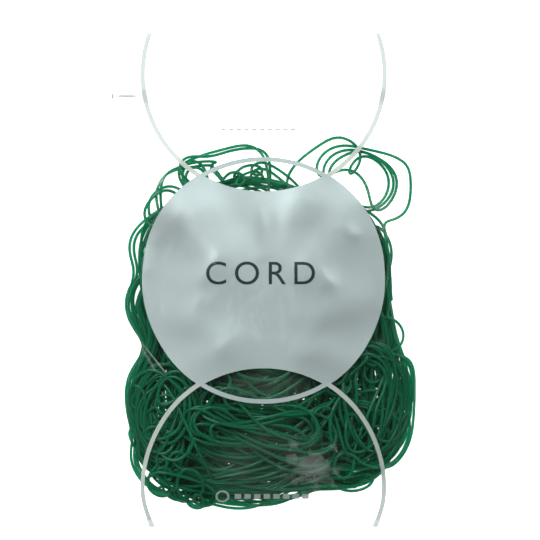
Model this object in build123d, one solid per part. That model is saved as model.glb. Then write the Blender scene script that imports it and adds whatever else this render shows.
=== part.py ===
"""Clear printed film pouch, lying on its back, filled with loose skeins of soft round cord.

+X is the pouch's right, +Y its mouth end, +Z its printed front. Heights along the pouch are
measured from its bottom edge, and the finished parts are moved so that the origin is under the
middle of the pouch, on the surface that it lies on. Every length is in millimetres.
"""
import math
import os

from build123d import *

# Pouch, measured flat
POUCH_W = 200.0
POUCH_L = 320.0
FILM = 0.2
SIDE_SEAL_W = 2.0
BOTTOM_SEAL_W = 5.0

# Belly of the pouch: the front film stands over the cord as two crossing barrel vaults
BELLY_RISE = 26.0
BELLY_Y = 95.0
BELLY_MARGIN = 1.0
LENGTHWISE_RISE = 1.05  # share of the crosswise rise, which leaves a short level ridge at the crown

# Press-to-close zip across the header
ZIP_DROP = 41.0
ZIP_TAPE_W = 8.0
ZIP_TAPE_T = 0.3
ZIP_RIB_W = 0.8
ZIP_RIB_H = 0.7
ZIP_JAW_W = 0.5
ZIP_CLEARANCE = 0.1
ZIP_ROOM = 0.1
ZIP_CRUSH_W = 1.6
ZIP_CRUSH_L = 4.8

# Print on the front: a filled disc between two line rings, and three lines of marks
INK = 0.15
RING_R = 78.3
RING_LINE = 2.9
RING_PITCH = 133.0
WORD_H = 13.0
WORD_STROKE = 2.2
WORD_GAP = 8.0
WORD_LIFT = 2.0
UPPER_MARK_DROP = 22.0
UPPER_DASH = (3.0, 1.2, 2.0)
LOWER_MARK_Y = 20.7
LOWER_RING_X = -30.0
LOWER_RING = (4.5, 3.2)
LOWER_DASH = (4.2, 3.6, 2.0)

# Skeins of cord, laid out for a belly of this half width and length; another belly stretches them
LAYOUT_HALF_W = 97.0
LAYOUT_START_Y = 6.0
LAYOUT_END_Y = 274.0

# Each skein: where its layer starts and ends as shares of the belly's height, the half width of
# its band of turns, and the middle line of those turns seen from the front
SKEINS = {
    "cord_skein_outer_back": (
        0.03, 0.25, 10.0,
        [(-58, 218), (-80, 188), (-84, 120), (-78, 50), (-46, 27), (36, 29), (78, 48),
         (86, 96), (80, 150), (70, 180), (34, 194), (0, 228)],
    ),
    "cord_skein_inner_back": (
        0.03, 0.25, 12.0,
        [(-40, 190), (-56, 140), (-50, 72), (-16, 53), (36, 56), (56, 92), (46, 152), (6, 170)],
    ),
    "cord_skein_left": (
        0.27, 0.47, 9.0,
        [(-58, 212), (-77, 184), (-82, 120), (-76, 62), (-56, 48), (-37, 84), (-38, 184)],
    ),
    "cord_skein_middle": (
        0.27, 0.47, 8.0,
        [(-14, 196), (-17, 130), (-13, 52), (13, 52), (17, 130), (14, 196)],
    ),
    "cord_skein_right": (
        0.27, 0.47, 9.0,
        [(56, 182), (75, 158), (84, 112), (82, 64), (60, 48), (37, 84), (38, 168)],
    ),
    "cord_skein_bottom": (
        0.49, 0.71, 10.0,
        [(-66, 88), (-76, 54), (-46, 32), (32, 31), (72, 48), (76, 84), (36, 98), (-30, 98)],
    ),
    "cord_skein_upper": (
        0.49, 0.71, 10.0,
        [(-46, 196), (-58, 152), (-36, 124), (36, 124), (56, 148), (44, 186), (0, 208)],
    ),
    "cord_loops_top_left": (
        0.49, 0.90, 5.0,
        [(-52, 222), (-26, 237), (4, 239), (10, 227), (-24, 224)],
    ),
    "cord_loops_top_right": (
        0.05, 0.90, 7.0,
        [(46, 215), (46, 236), (66, 243), (84, 232), (86, 214), (68, 203)],
    ),
    "cord_skein_front_sweep": (
        0.73, 0.93, 8.0,
        [(-36, 74), (-38, 52), (-4, 43), (32, 48), (38, 70), (10, 86)],
    ),
    "cord_loops_lower_left": (
        0.73, 0.93, 5.0,
        [(-68, 100), (-76, 78), (-68, 48), (-54, 56), (-54, 92)],
    ),
    "cord_loops_lower_right": (
        0.73, 0.93, 5.0,
        [(64, 104), (78, 84), (72, 52), (56, 50), (55, 88)],
    ),
    "cord_skein_front_upper": (
        0.73, 0.93, 10.0,
        [(-28, 178), (-40, 136), (-22, 106), (22, 106), (40, 136), (28, 178)],
    ),
}

ZIP_Y = POUCH_L - ZIP_DROP
SEALED_HALF_W = POUCH_W / 2 - SIDE_SEAL_W
BELLY_HALF_W = SEALED_HALF_W - BELLY_MARGIN
BELLY_START_Y = BOTTOM_SEAL_W + BELLY_MARGIN
BELLY_END_Y = ZIP_Y - ZIP_TAPE_W / 2 - BELLY_MARGIN
ZIP_STACK = 2 * ZIP_TAPE_T + ZIP_RIB_H + ZIP_CLEARANCE
DISC_Y = POUCH_L / 2


def slab(x0, x1, y0, y1, z0, z1):
    """Straight box between two corners."""
    middle = ((x0 + x1) / 2, (y0 + y1) / 2, (z0 + z1) / 2)
    return Pos(*middle) * Box(x1 - x0, y1 - y0, z1 - z0)


def vault_arc(half_span, rise, grow):
    """Span and top of a circular arch after it grows outwards by a film's thickness."""
    radius = (half_span**2 + rise**2) / (2 * rise) + grow
    top = rise + grow
    return math.sqrt(2 * radius * top - top**2), top


def belly(rise, grow=0.0):
    """Solid under two crossing barrel vaults that stand on the back film."""
    half_w, top = vault_arc(BELLY_HALF_W, rise, grow)
    across = ThreePointArc((-half_w, 0), (0, top), (half_w, 0)) + Line((half_w, 0), (-half_w, 0))
    across_solid = extrude(make_face(Plane.XZ * across), 2 * POUCH_L, both=True)
    below, crown = vault_arc(BELLY_Y - BELLY_START_Y, rise * LENGTHWISE_RISE, grow)
    above, _ = vault_arc(BELLY_END_Y - BELLY_Y, rise * LENGTHWISE_RISE, grow)
    start, end = BELLY_Y - below, BELLY_Y + above
    along = (
        TangentArc((BELLY_Y, crown), (start, 0), tangent=(-1, 0))
        + TangentArc((BELLY_Y, crown), (end, 0), tangent=(1, 0))
        + Line((start, 0), (end, 0))
    )
    along_solid = extrude(make_face(Plane.YZ * along), POUCH_W, both=True)
    return Pos(0, 0, FILM) * (across_solid & along_solid)


def zip_channel(grow):
    """Room that the zip takes between the two films."""
    half_tape = ZIP_TAPE_W / 2 + ZIP_ROOM + grow
    top = FILM + ZIP_STACK + ZIP_ROOM + grow
    return slab(-SEALED_HALF_W, SEALED_HALF_W, ZIP_Y - half_tape, ZIP_Y + half_tape, FILM, top)


def front_skin(grow):
    """Everything under the front film's surface, grown outwards."""
    sheet = slab(-POUCH_W / 2, POUCH_W / 2, 0, POUCH_L, FILM, FILM + grow)
    return sheet + belly(BELLY_RISE, grow) + zip_channel(grow)


def between_seals(z0, z1):
    """Block that fills the pouch's inside between its three seals."""
    return slab(-SEALED_HALF_W, SEALED_HALF_W, BOTTOM_SEAL_W, POUCH_L, z0, z1)


def front_film():
    film = front_skin(FILM) - belly(BELLY_RISE) - zip_channel(0)
    return film & between_seals(FILM, FILM + 2 * BELLY_RISE)


def back_film():
    return between_seals(0, FILM)


def side_seal(side):
    """Welded edge, with the crushed end of the zip as a small lozenge in it."""
    outer, inner = side * POUCH_W / 2, side * SEALED_HALF_W
    seal = slab(min(outer, inner), max(outer, inner), 0, POUCH_L, 0, 2 * FILM)
    crush = extrude(Ellipse(ZIP_CRUSH_W / 2, ZIP_CRUSH_L / 2), ZIP_STACK / 2)
    return seal + Pos((outer + inner) / 2, ZIP_Y, 2 * FILM) * crush


def bottom_seal():
    return slab(-SEALED_HALF_W, SEALED_HALF_W, 0, BOTTOM_SEAL_W, 0, 2 * FILM)


def zip_tape(z0):
    half = ZIP_TAPE_W / 2
    return slab(-SEALED_HALF_W, SEALED_HALF_W, ZIP_Y - half, ZIP_Y + half, z0, z0 + ZIP_TAPE_T)


def zip_rib_strip():
    """Lower zip half: a tape with one rib."""
    z = FILM + ZIP_TAPE_T
    half = ZIP_RIB_W / 2
    rib = slab(-SEALED_HALF_W, SEALED_HALF_W, ZIP_Y - half, ZIP_Y + half, z, z + ZIP_RIB_H)
    return zip_tape(FILM) + rib


def zip_groove_strip():
    """Upper zip half: a tape with two jaws that close on the rib."""
    top = FILM + ZIP_STACK
    strip = zip_tape(top - ZIP_TAPE_T)
    jaw = Box(2 * SEALED_HALF_W, ZIP_JAW_W, ZIP_RIB_H)
    jaw_z = top - ZIP_TAPE_T - ZIP_RIB_H / 2
    reach = (ZIP_RIB_W + ZIP_JAW_W) / 2 + ZIP_CLEARANCE
    for side in (-1, 1):
        strip += Pos(0, ZIP_Y + side * reach, jaw_z) * jaw
    return strip


def printed(sketch, under=FILM):
    """Ink layer of a flat outline, laid on the front film's surface."""
    layer = front_skin(under + INK) - front_skin(under)
    return layer & extrude(sketch, 3 * BELLY_RISE)


def circle_at(y, radius):
    return Pos(0, y) * Circle(radius)


def line_ring(y):
    return circle_at(y, RING_R + RING_LINE / 2) - circle_at(y, RING_R - RING_LINE / 2)


def disc_panel():
    """Filled disc with two clear lenses, where the rings cross it, and its own outline."""
    panel = circle_at(DISC_Y, RING_R + RING_LINE / 2)
    for y in (DISC_Y - RING_PITCH, DISC_Y + RING_PITCH):
        panel -= circle_at(y, RING_R - RING_LINE / 2)
    return panel + line_ring(DISC_Y)


def clipped_ring(y):
    """The part of a line ring that is on the pouch and outside the disc."""
    sheet = Pos(0, POUCH_L / 2) * Rectangle(POUCH_W, POUCH_L)
    return (line_ring(y) & sheet) - disc_panel()


def letter_o(h):
    return Circle(h / 2) - Circle(h / 2 - WORD_STROKE)


def letter_c(h):
    opening = Pos(h / 2, 0) * Rectangle(h * 0.7, h * 0.4)
    return letter_o(h) - opening


def letter_bar(h):
    return Pos(-h / 2 + WORD_STROKE / 2, 0) * Rectangle(WORD_STROKE, h)


def letter_d(h):
    right = Pos(h / 2, 0) * Rectangle(h, h)
    bow = (letter_o(h) & right) + letter_bar(h)
    caps = Pos(-h / 4, 0) * (Rectangle(h / 2, h) - Rectangle(h / 2, h - 2 * WORD_STROKE))
    return bow + caps


def letter_r(h):
    upper = h * 0.56
    small = Circle(upper / 2) - Circle(upper / 2 - WORD_STROKE)
    bow = small & (Pos(upper / 2, 0) * Rectangle(upper, upper))
    reach = h / 2
    caps = Pos(-reach / 2, 0) * (Rectangle(reach, upper) - Rectangle(reach, upper - 2 * WORD_STROKE))
    leg = Pos(h * 0.08, -h * 0.26) * Rot(0, 0, 35) * Rectangle(WORD_STROKE, h * 0.58)
    below = Pos(0, -h / 2 + h * 0.25) * Rectangle(2 * h, h * 0.5)
    return letter_bar(h) + Pos(0, (h - upper) / 2) * (bow + caps) + (leg & below)


def centre_word():
    """The plain word CORD."""
    pitch = WORD_H + WORD_GAP
    word = Sketch()
    for place, letter in enumerate((letter_c, letter_o, letter_r, letter_d)):
        word += Pos((place - 1.5) * pitch, DISC_Y + WORD_LIFT) * letter(WORD_H)
    return word


def dash_row(x_start, y, count, dash):
    """Row of short dashes, each given as its length, height and gap."""
    length, height, gap = dash
    row = Sketch()
    for place in range(count):
        row += Pos(x_start + place * (length + gap), y) * Rectangle(length, height)
    return row


def upper_mark():
    return dash_row(-26, ZIP_Y - UPPER_MARK_DROP, 10, UPPER_DASH)


def lower_mark():
    """Small plain ring with a row of dashes beside it."""
    outer_r, inner_r = LOWER_RING
    ring = Pos(LOWER_RING_X, LOWER_MARK_Y) * (Circle(outer_r) - Circle(inner_r))
    return ring + dash_row(LOWER_RING_X + 10, LOWER_MARK_Y, 8, LOWER_DASH)


def skein(share_from, share_to, half_width, middle_line):
    """Closed band of cord turns, cut to the pouch's inside between two heights."""
    stretch_x = BELLY_HALF_W / LAYOUT_HALF_W
    stretch_y = (BELLY_END_Y - BELLY_START_Y) / (LAYOUT_END_Y - LAYOUT_START_Y)
    points = [
        (x * stretch_x, BELLY_START_Y + (y - LAYOUT_START_Y) * stretch_y) for x, y in middle_line
    ]
    band = half_width * min(stretch_x, stretch_y, 1)
    loop = make_face(Polyline(*points, close=True))
    outline = offset(loop, band) - offset(loop, -band)
    room = belly(BELLY_RISE * share_to) - belly(BELLY_RISE * share_from)
    return extrude(outline, 3 * BELLY_RISE) & room


def build_parts():
    parts = {
        "front_film": front_film(),
        "back_film": back_film(),
        "side_seal_left": side_seal(-1),
        "side_seal_right": side_seal(1),
        "bottom_seal": bottom_seal(),
        "zip_rib_strip": zip_rib_strip(),
        "zip_groove_strip": zip_groove_strip(),
        "print_disc": printed(disc_panel()),
        "print_ring_top": printed(clipped_ring(DISC_Y + RING_PITCH)),
        "print_ring_bottom": printed(clipped_ring(DISC_Y - RING_PITCH)),
        "print_word": printed(centre_word(), FILM + INK),
        "print_mark_upper": printed(upper_mark()),
        "print_mark_lower": printed(lower_mark()),
    }
    for name, shape in SKEINS.items():
        parts[name] = skein(*shape)
    return parts


os.makedirs("parts", exist_ok=True)
for part_name, part in build_parts().items():
    solids = (Pos(0, -POUCH_L / 2, 0) * part).solids()
    export_step(solids[0] if len(solids) == 1 else Compound(solids), f"parts/{part_name}.step")
    print(part_name, len(solids), round(sum(s.volume for s in solids), 1))
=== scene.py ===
# %% [markdown]
# # A clear pouch stuffed with soft green cord
#
# The real object is a flat, printed, clear film pouch that holds skeins of round elastomer cord.
# The CAD frame gives the sizes. This lesson lays every turn of cord, lets the turns push each
# other apart, drapes the films over them, and then gives each piece its finish.

# %% Load the frame
import math

import bpy
import numpy as np
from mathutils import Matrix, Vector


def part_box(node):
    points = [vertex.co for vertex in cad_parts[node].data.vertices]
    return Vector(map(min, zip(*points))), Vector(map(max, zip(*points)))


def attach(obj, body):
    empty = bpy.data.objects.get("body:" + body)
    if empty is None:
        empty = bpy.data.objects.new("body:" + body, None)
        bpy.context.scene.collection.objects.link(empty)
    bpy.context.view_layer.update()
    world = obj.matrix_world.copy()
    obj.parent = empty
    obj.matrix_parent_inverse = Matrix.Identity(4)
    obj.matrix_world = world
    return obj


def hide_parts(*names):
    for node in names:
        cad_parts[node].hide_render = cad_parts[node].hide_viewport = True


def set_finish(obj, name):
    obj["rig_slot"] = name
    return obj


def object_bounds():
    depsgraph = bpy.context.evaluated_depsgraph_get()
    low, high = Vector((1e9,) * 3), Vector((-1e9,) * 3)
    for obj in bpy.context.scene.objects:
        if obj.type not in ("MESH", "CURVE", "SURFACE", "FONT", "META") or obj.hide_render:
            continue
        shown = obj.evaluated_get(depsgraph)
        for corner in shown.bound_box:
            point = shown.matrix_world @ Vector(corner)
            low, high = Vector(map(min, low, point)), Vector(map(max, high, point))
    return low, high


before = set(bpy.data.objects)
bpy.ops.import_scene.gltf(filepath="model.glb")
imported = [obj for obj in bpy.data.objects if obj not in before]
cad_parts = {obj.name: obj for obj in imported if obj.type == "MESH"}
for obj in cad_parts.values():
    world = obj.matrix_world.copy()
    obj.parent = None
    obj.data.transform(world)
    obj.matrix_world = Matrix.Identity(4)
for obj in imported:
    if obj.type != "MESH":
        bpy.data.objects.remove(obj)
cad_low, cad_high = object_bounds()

MM = 0.001
BOTTOM_Y = cad_low.y
HALF_W = cad_high.x
FILM_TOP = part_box("front_film")[1].z
BACK_FILM_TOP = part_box("back_film")[1].z
print("pouch", [round(v, 4) for v in cad_high - cad_low])

# %% [markdown]
# ## Camera, floor and light
#
# The pouch lies on its back, so the camera looks straight down at its printed front through a
# long lens, which keeps the outline free of perspective. The floor is a white panel that glows a
# little, as a light table does, so that thin cord looks brighter than the heap in the middle.

# %% Camera
CAMERA_HEIGHT = 1.6
FRAME_WIDTH = 0.3497
SENSOR_MM = 36.0
camera_data = bpy.data.cameras.new("camera")
camera_data.sensor_width = SENSOR_MM
camera_data.lens = SENSOR_MM * CAMERA_HEIGHT / FRAME_WIDTH
camera = bpy.data.objects.new("camera", camera_data)
camera.location = (2.6 * MM, 6.5 * MM, CAMERA_HEIGHT)
bpy.context.scene.collection.objects.link(camera)
bpy.context.scene.camera = camera
print("lens", round(camera_data.lens, 1), "mm")


# %% Colours and nodes
def srgb(code, alpha=1.0):
    """Linear colour of an sRGB hex code."""
    parts = [int(code[i:i + 2], 16) / 255 for i in (0, 2, 4)]
    return tuple(c / 12.92 if c <= 0.04045 else ((c + 0.055) / 1.055) ** 2.4 for c in parts) + (alpha,)


def add_node(tree, kind, settings=None, links=None, **fields):
    """Adds a node, sets its fields and sockets, and links sockets to other nodes' outputs."""
    node = tree.nodes.new(kind)
    for field, value in fields.items():
        setattr(node, field, value)
    for socket, value in (settings or {}).items():
        node.inputs[socket].default_value = value
    for socket, source in (links or {}).items():
        tree.links.new(source, node.inputs[socket])
    return node


def new_material(name):
    """An empty node material, its node tree and its output node."""
    material = bpy.data.materials.new(name)
    material.use_nodes = True
    material.node_tree.nodes.clear()
    output = material.node_tree.nodes.new("ShaderNodeOutputMaterial")
    return material, material.node_tree, output


print("deep green in linear light", [round(c, 3) for c in srgb("007F57")[:3]])


# %% Floor, sky and lamps
FLOOR_SIZE = 6.0
bpy.ops.object.select_all(action="DESELECT")
bpy.ops.mesh.primitive_plane_add(size=FLOOR_SIZE, location=(0, 0, 0))
floor = bpy.context.object
floor.name = "floor"
white_panel, tree, output = new_material("white light panel")
panel = add_node(tree, "ShaderNodeBsdfPrincipled", {
    "Base Color": srgb("FAFAFA"), "Roughness": 0.9, "Specular IOR Level": 0.1,
    "Emission Color": srgb("FFFFFF"), "Emission Strength": 1.25,
})
tree.links.new(panel.outputs[0], output.inputs["Surface"])
floor.data.materials.append(white_panel)

world = bpy.data.worlds.new("white room")
world.use_nodes = True
world.node_tree.nodes["Background"].inputs["Color"].default_value = srgb("FFFFFF")
world.node_tree.nodes["Background"].inputs["Strength"].default_value = 0.07
bpy.context.scene.world = world
bpy.context.scene.view_settings.view_transform = "Standard"


def soft_box(name, place, aim, size, power, glints=True):
    """A square lamp at a place, aimed at a point. Without glints it never shows as a mirror image."""
    data = bpy.data.lights.new(name, "AREA")
    data.shape, data.size, data.energy = "SQUARE", size, power
    lamp = bpy.data.objects.new(name, data)
    lamp.location = place
    lamp.visible_glossy = glints
    direction = np.array(place) - np.array(aim)
    flat = math.hypot(direction[0], direction[1])
    lamp.rotation_euler = (math.atan2(flat, direction[2]), 0, math.atan2(direction[0], -direction[1]))
    bpy.context.scene.collection.objects.link(lamp)


soft_box("key", (-1.5, 1.6, 1.7), (0, 0, 0), 1.4, 80)
soft_box("fill", (1.9, 1.2, 1.5), (0, 0, 0), 1.6, 30)
soft_box("front", (0.2, -2.0, 1.2), (0, 0, 0), 1.2, 8, glints=False)
print([lamp.name for lamp in bpy.data.lights])

# %% [markdown]
# ## The room inside the pouch
#
# The belly of the pouch is a low pillow: highest near its lower third, and down to nothing at the
# seals. Cord may lie anywhere under that pillow. Near the side seals there is room for one layer.

# %% Height of the room
BELLY_HALF_W = HALF_W - 3 * MM
BELLY_START, BELLY_CROWN, BELLY_END = (BOTTOM_Y + v * MM for v in (6, 95, 274))
BELLY_RISE = FILM_TOP - 2 * BACK_FILM_TOP
CORD_R = 0.9 * MM
EDGE_ROOM = 2.6 * CORD_R


def arch(distance, half_span):
    """Height of a shallow circular arch at a distance from its crown."""
    radius = (half_span**2 + BELLY_RISE**2) / (2 * BELLY_RISE)
    inside = np.clip(1 - (distance / radius) ** 2, 0, 1)
    return radius * np.sqrt(inside) - (radius - BELLY_RISE)


def room_height(x, y):
    below = arch(np.abs(y - BELLY_CROWN), BELLY_CROWN - BELLY_START)
    above = arch(np.abs(y - BELLY_CROWN), BELLY_END - BELLY_CROWN)
    along = np.where(y < BELLY_CROWN, below, above)
    return np.maximum(np.minimum(arch(np.abs(x), BELLY_HALF_W), along), EDGE_ROOM)


print("room at the crown", round(float(room_height(0.0, BELLY_CROWN)) / MM, 1), "mm")

# %% [markdown]
# ## Laying the turns
#
# A skein is one long cord that goes round and round a loose middle line. Each turn swings from
# one side of the band to the other, so turns cross at the narrow places and fan out in the wide
# ones, which gives a real skein its scalloped edge. The middle lines are listed in millimetres
# from the middle of the bottom edge: x, y and how far the turns fan out there.

# %% The skeins' middle lines
# Each entry: turns, lowest and highest share of the room, how far whole turns stray in mm,
# how many small curls, then the middle line.
SKEINS = {
    "cord_skein_outer_back": (14, 0.04, 0.35, 2.5, 6, [
        (-56, 209, 5), (-68, 198, 5), (-75, 182, 6), (-76, 165, 4), (-79, 143, 6), (-69, 120, 4),
        (-78, 90, 8), (-75, 63, 8), (-74, 46, 8), (-58, 33, 9), (-28, 23, 6), (8, 22, 6),
        (34, 34, 8), (60, 35, 8), (79, 50, 7), (84, 70, 7), (84, 98, 7), (77, 118, 5),
        (74, 150, 4), (73, 178, 4), (69, 194, 3), (50, 203, 8), (20, 211, 8), (-10, 218, 8),
        (-36, 216, 7)]),
    "cord_skein_inner_back": (11, 0.1, 0.5, 10, 8, [
        (-34, 178, 16), (-50, 140, 20), (-32, 112, 20), (8, 92, 22), (46, 70, 20), (34, 46, 18),
        (-8, 40, 16), (-44, 54, 18), (-50, 76, 20), (-14, 94, 22), (34, 114, 20), (50, 140, 20),
        (34, 172, 16), (0, 186, 14)]),
    "cord_skein_left": (18, 0.2, 0.65, 2, 8, [
        (-58, 204, 5), (-69, 192, 5), (-75, 178, 6), (-76, 161, 4), (-79, 141, 6), (-68, 120, 4),
        (-76, 95, 9), (-75, 66, 9), (-73, 48, 9), (-60, 38, 9), (-46, 50, 12), (-42, 80, 16),
        (-48, 116, 18), (-46, 160, 12), (-48, 188, 8)]),
    "cord_skein_middle": (26, 0.2, 0.65, 10, 8, [
        (-14, 192, 14), (-22, 150, 20), (-24, 96, 24), (-18, 48, 20), (16, 44, 20),
        (26, 90, 24), (24, 150, 20), (12, 192, 14)]),
    "cord_skein_right": (17, 0.2, 0.65, 4, 16, [
        (65, 196, 4), (72, 184, 4), (74, 168, 4), (74, 150, 4), (73, 134, 4), (73, 116, 8),
        (73, 92, 13), (74, 68, 13), (70, 48, 11), (60, 42, 10), (54, 62, 16), (52, 96, 18),
        (56, 130, 12), (56, 164, 9), (56, 188, 6)]),
    "cord_skein_bottom": (20, 0.3, 0.8, 7, 16, [
        (-58, 76, 16), (-72, 58, 12), (-64, 40, 10), (-44, 29, 8), (-16, 25, 8), (12, 27, 8),
        (34, 40, 12), (56, 40, 11), (74, 50, 10), (78, 72, 12), (56, 80, 18), (18, 58, 20),
        (-24, 54, 20)]),
    "cord_skein_upper": (23, 0.35, 0.8, 9, 6, [
        (-44, 186, 10), (-56, 154, 14), (-44, 112, 18), (0, 98, 18), (42, 110, 18),
        (56, 144, 14), (48, 178, 10), (20, 196, 9), (-14, 202, 9)]),
    "cord_loops_top_left": (2, 0.25, 0.85, 1.5, 2, [
        (-10, 200, 2), (4, 214, 2), (4, 226, 2), (2, 240, 2), (-4, 245, 2), (-10, 246, 2),
        (-18, 245, 2), (-28, 241, 2), (-38, 239, 2), (-46, 239, 2), (-53, 237, 2), (-56, 234, 2),
        (-57, 230, 2), (-56, 226, 2), (-52, 222, 2), (-42, 214, 2), (-48, 208, 2), (-57, 218, 2),
        (-64, 219, 2), (-72, 215, 2), (-77, 209, 2), (-78, 203, 2), (-77, 198, 2), (-72, 190, 2),
        (-66, 196, 2), (-70, 208, 2), (-71, 215, 2), (-70, 221, 2), (-67, 226, 2), (-62, 229, 2),
        (-56, 231, 2), (-48, 234, 2), (-40, 236, 2), (-32, 238, 2), (-26, 237, 2), (-29, 233, 2),
        (-38, 236, 2), (-44, 234, 2), (-38, 231, 2), (-30, 231, 2), (-24, 222, 2), (-31, 219, 2),
        (-31, 225, 2), (-26, 230, 2), (-18, 231, 2), (-13, 226, 2), (-17, 220, 2), (-26, 221, 2),
        (-22, 228, 2), (-10, 234, 2), (-3, 233, 2), (0, 227, 2), (-5, 222, 2), (-13, 224, 2),
        (-12, 231, 2), (-5, 236, 2), (6, 230, 2), (16, 222, 2), (28, 212, 2), (22, 202, 2),
        (6, 198, 2)]),
    "cord_loops_top_right": (1, 0.2, 0.8, 0, 0, [
        (76, 140, 0), (80, 153, 0), (78, 164, 0), (78, 176, 0), (75, 186, 0), (76, 194, 0),
        (72, 200, 0), (79, 197, 0), (87, 200, 0), (94, 208, 0), (97, 218, 0), (97, 227, 0),
        (93, 235, 0), (84, 240, 0), (73, 243, 0), (62, 245, 0), (57, 247, 0), (50, 248, 0),
        (41, 246, 0), (35, 241, 0), (31, 233, 0), (32, 226, 0), (38, 224, 0), (44, 231, 0),
        (52, 233, 0), (59, 231, 0), (64, 224, 0), (67, 216, 0), (67, 207, 0), (69, 202, 0),
        (76, 204, 0), (82, 212, 0), (86, 220, 0), (85, 228, 0), (80, 235, 0), (70, 240, 0),
        (62, 245, 0), (55, 243, 0), (46, 239, 0), (39, 232, 0), (40, 221, 0), (54, 211, 0),
        (67, 204, 0), (76, 210, 0), (80, 219, 0), (81, 226, 0), (76, 235, 0), (67, 242, 0),
        (60, 242, 0), (54, 234, 0), (51, 224, 0), (57, 228, 0), (62, 237, 0), (63, 244, 0),
        (53, 252, 0), (47, 254, 0), (41, 252, 0), (33, 246, 0), (21, 238, 0), (13, 227, 0),
        (12, 216, 0), (30, 206, 0), (52, 206, 0), (66, 203, 0), (74, 206, 0), (83, 216, 0),
        (84, 226, 0), (76, 237, 0), (63, 243, 0), (54, 245, 0), (44, 243, 0), (37, 236, 0),
        (35, 226, 0), (44, 214, 0), (62, 206, 0), (71, 201, 0), (78, 192, 0), (75, 182, 0),
        (79, 172, 0), (76, 160, 0), (80, 148, 0), (77, 136, 0)]),
    "cord_skein_front_sweep": (17, 0.6, 0.98, 7, 4, [
        (-48, 70, 9), (-30, 60, 10), (-4, 53, 10), (22, 48, 9), (38, 54, 8), (32, 66, 8),
        (8, 66, 10), (-18, 72, 10), (-38, 82, 9)]),
    "cord_loops_lower_left": (13, 0.55, 0.98, 4, 8, [
        (-66, 104, 3), (-76, 96, 5), (-83, 84, 4), (-79, 62, 5), (-66, 48, 6), (-54, 58, 8),
        (-50, 80, 8), (-56, 96, 6)]),
    "cord_loops_lower_right": (14, 0.55, 0.98, 5, 12, [
        (58, 114, 5), (75, 114, 5), (81, 99, 9), (79, 72, 11), (71, 50, 10), (58, 46, 10),
        (50, 70, 12), (52, 98, 9)]),
    "cord_skein_front_upper": (16, 0.65, 0.96, 6, 4, [
        (-28, 174, 9), (-42, 136, 10), (-24, 104, 10), (20, 102, 10), (42, 134, 10), (30, 172, 9)]),
}
# Loops that lie alone at an edge of the heap: lone rounds of the cord named, point by point.
EDGE_ROUNDS = {
    "cord_skein_right": (1, [
        (60, 134), (74, 136), (79, 137), (86, 133), (91, 125), (89, 117), (82, 112), (66, 112),
        (66, 106), (76, 112), (88, 112), (94, 108), (95, 98), (93, 88), (95, 76), (95, 62),
        (90, 50), (83, 40), (75, 36), (66, 44)]),
    "cord_skein_outer_back": (2, [
        (-56, 214), (-66, 205), (-77, 199), (-84, 193), (-88, 187), (-89, 181), (-88, 174),
        (-83, 166), (-87, 157), (-90, 147), (-89, 138), (-83, 128), (-75, 119), (-66, 108),
        (-58, 116), (-54, 140), (-52, 180)]),
    "cord_skein_left": (3, [
        (-64, 168), (-80, 165), (-87, 157), (-90, 147), (-89, 138), (-83, 128), (-74, 118),
        (-80, 110), (-87, 101), (-90, 90), (-88, 76), (-85, 64), (-83, 58), (-87, 50),
        (-87, 42), (-83, 33), (-74, 24), (-62, 20), (-48, 22), (-52, 34), (-60, 60)]),
    "cord_skein_front_sweep": (1, [
        (-36, 70), (-14, 66), (6, 70), (16, 74), (24, 74), (31, 68), (33, 61), (29, 55),
        (18, 50), (-2, 48), (-22, 52)]),
    "cord_skein_bottom": (1, [
        (36, 64), (32, 52), (48, 44), (60, 44), (67, 50), (68, 56), (62, 64), (52, 65),
        (39, 65), (34, 69), (44, 40), (40, 29), (48, 24), (56, 23), (65, 25), (72, 31),
        (70, 38), (56, 34), (46, 30)]),
    "cord_loops_lower_left": (2, [
        (-70, 40), (-79, 33), (-74, 22), (-62, 19), (-57, 26), (-63, 34), (-69, 30), (-64, 20),
        (-54, 16), (-47, 20), (-50, 29), (-58, 28), (-56, 19), (-46, 15), (-38, 18), (-40, 27),
        (-48, 28), (-50, 20), (-40, 14), (-30, 17), (-32, 27)]),
}
print(len(SKEINS), "skeins")

# %% Turning a middle line into one long cord
POINT_STEP = 5 * MM
rng = np.random.default_rng(7)


def wander(count, shortest, longest):
    """A smooth random run of values from -1 to 1, with swings of about those many points."""
    places = np.arange(count)
    waves = []
    for _ in range(3):
        turns = places / rng.uniform(shortest, longest) + rng.uniform()
        waves.append(np.sin(2 * math.pi * turns))
    return np.sin(sum(waves) * 0.9)


def even_steps(points, step):
    """Points a step apart along the smooth line that a rough one leads."""
    fine = np.linspace(0, len(points) - 1.001, len(points) * 12)
    whole = fine.astype(int)
    part = (fine - whole)[:, None]
    before = points[np.clip(whole - 1, 0, len(points) - 1)]
    here, after = points[whole], points[np.clip(whole + 1, 0, len(points) - 1)]
    start, end = (before + here) / 2, (here + after) / 2
    smooth = (1 - part) ** 2 * start + 2 * part * (1 - part) * here + part**2 * end
    lengths = np.concatenate([[0], np.cumsum(np.linalg.norm(np.diff(smooth, axis=0), axis=1))])
    wanted = np.arange(0, lengths[-1], step)
    even = np.stack([np.interp(wanted, lengths, smooth[:, k]) for k in range(smooth.shape[1])], axis=1)
    for _ in range(2):
        even[1:-1] = even[1:-1] / 2 + (even[:-2] + even[2:]) / 4
    return even


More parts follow.
